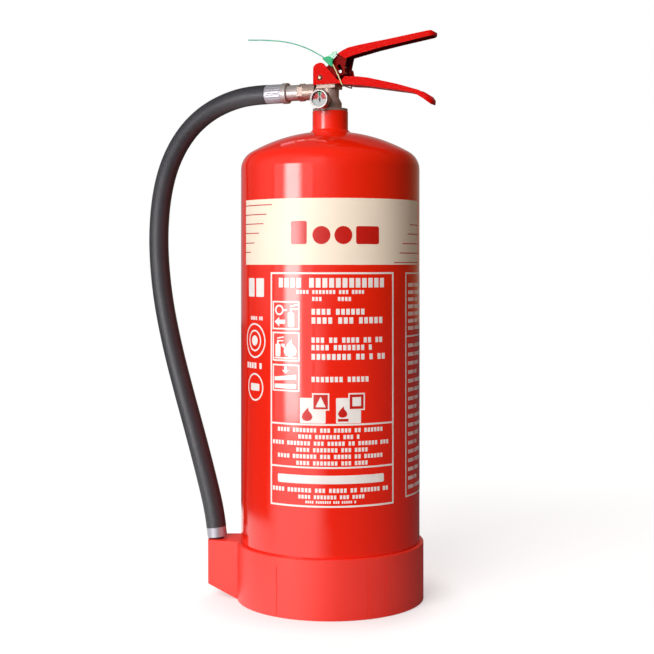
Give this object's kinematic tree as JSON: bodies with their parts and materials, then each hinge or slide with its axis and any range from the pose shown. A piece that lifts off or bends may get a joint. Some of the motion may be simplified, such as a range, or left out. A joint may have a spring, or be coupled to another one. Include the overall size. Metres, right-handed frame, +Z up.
{
  "type": "fire extinguisher",
  "caption": "Upright red foam fire extinguisher with dished cylinder, moulded foot, squeeze valve with two levers, pressure gauge, sealed safety pin and a hose parked in a nozzle holder.",
  "frame": {"origin": "on the floor, on the axis of the cylinder", "axes": "+Z up along the cylinder's axis, +X towards the tips of the levers, the hose leaves the valve along -X, the gauge faces -Y; the printed front faces 23 degrees round from -Y towards +X"},
  "size_m": [0.3025, 0.1922, 0.5656],
  "materials": {
    "red_paint": "gloss",
    "red_lever_paint": "gloss",
    "red_plastic": "satin",
    "nickel_brass": "satin",
    "zinc_steel": "satin",
    "steel_wire": "polished",
    "aluminium_ferrule": "satin",
    "black_rubber": "matte",
    "seal_rubber": "matte",
    "dial_print": "matte",
    "needle_paint": "matte",
    "clear_lens": "clear",
    "green_plastic": "gloss",
    "pale_plastic": "satin",
    "white_plastic": "satin",
    "foam_liquid": "liquid"
  },
  "bodies": {
    "root": {"cylinder_shell": "red_paint", "neck_ring": "red_paint", "foam_charge": "foam_liquid", "base_boot": "red_plastic", "hanger_bracket": "red_paint", "valve_body": "nickel_brass", "neck_o_ring": "seal_rubber", "gland_nut": "nickel_brass", "gland_o_ring": "seal_rubber", "stem_spring": "steel_wire", "spring_seat": "nickel_brass", "dip_tube": "white_plastic", "strainer": "white_plastic", "gauge_case": "steel_wire", "gauge_dial": "dial_print", "gauge_lens": "clear_lens", "bourdon_tube": "nickel_brass", "carry_handle": "red_lever_paint", "lever_pivot": "zinc_steel", "seal_lock": "green_plastic", "seal_strap": "pale_plastic", "seal_tail": "green_plastic", "outlet_nut": "nickel_brass", "hose_tail": "nickel_brass", "outlet_o_ring": "seal_rubber", "upper_ferrule": "aluminium_ferrule", "hose": "black_rubber", "lower_ferrule": "aluminium_ferrule", "spray_nozzle": "white_plastic"},
    "lever": {"operating_lever": "red_lever_paint"},
    "stem": {"valve_stem": "zinc_steel", "poppet_seal": "seal_rubber"},
    "needle": {"gauge_needle": "needle_paint"},
    "pin": {"safety_pin": "steel_wire"},
    "ring": {"pull_ring": "steel_wire"}
  },
  "joints": [
    {"name": "lever_squeeze", "type": "hinge", "parent": "root", "child": "lever", "pos_m": [-0.0062, 0, 0.5223], "axis": [0, 1, 0], "range_deg": [0, 15], "stiffness_Nm_per_rad": 4, "springref_deg": -5.73},
    {"name": "stem_push", "type": "slide", "parent": "root", "child": "stem", "axis": [0, 0, -1], "range_m": [0, 0.0021], "deforming": ["stem_spring"]},
    {"name": "gauge_needle_turn", "type": "hinge", "parent": "root", "child": "needle", "pos_m": [0, 0, 0.4987], "axis": [0, -1, 0], "range_deg": [-85, 85]},
    {"name": "pin_pull", "type": "slide", "parent": "root", "child": "pin", "axis": [0, 1, 0], "range_m": [0, 0.03]},
    {"name": "ring_swing", "type": "hinge", "parent": "pin", "child": "ring", "pos_m": [0.0157, 0.0164, 0.5274], "axis": [0, 0, -1], "range_deg": [0, 150]}
  ],
  "couplings": [
    {"joint": "stem_push", "follows": "lever_squeeze", "m_per_rad": 0.0078}
  ]
}
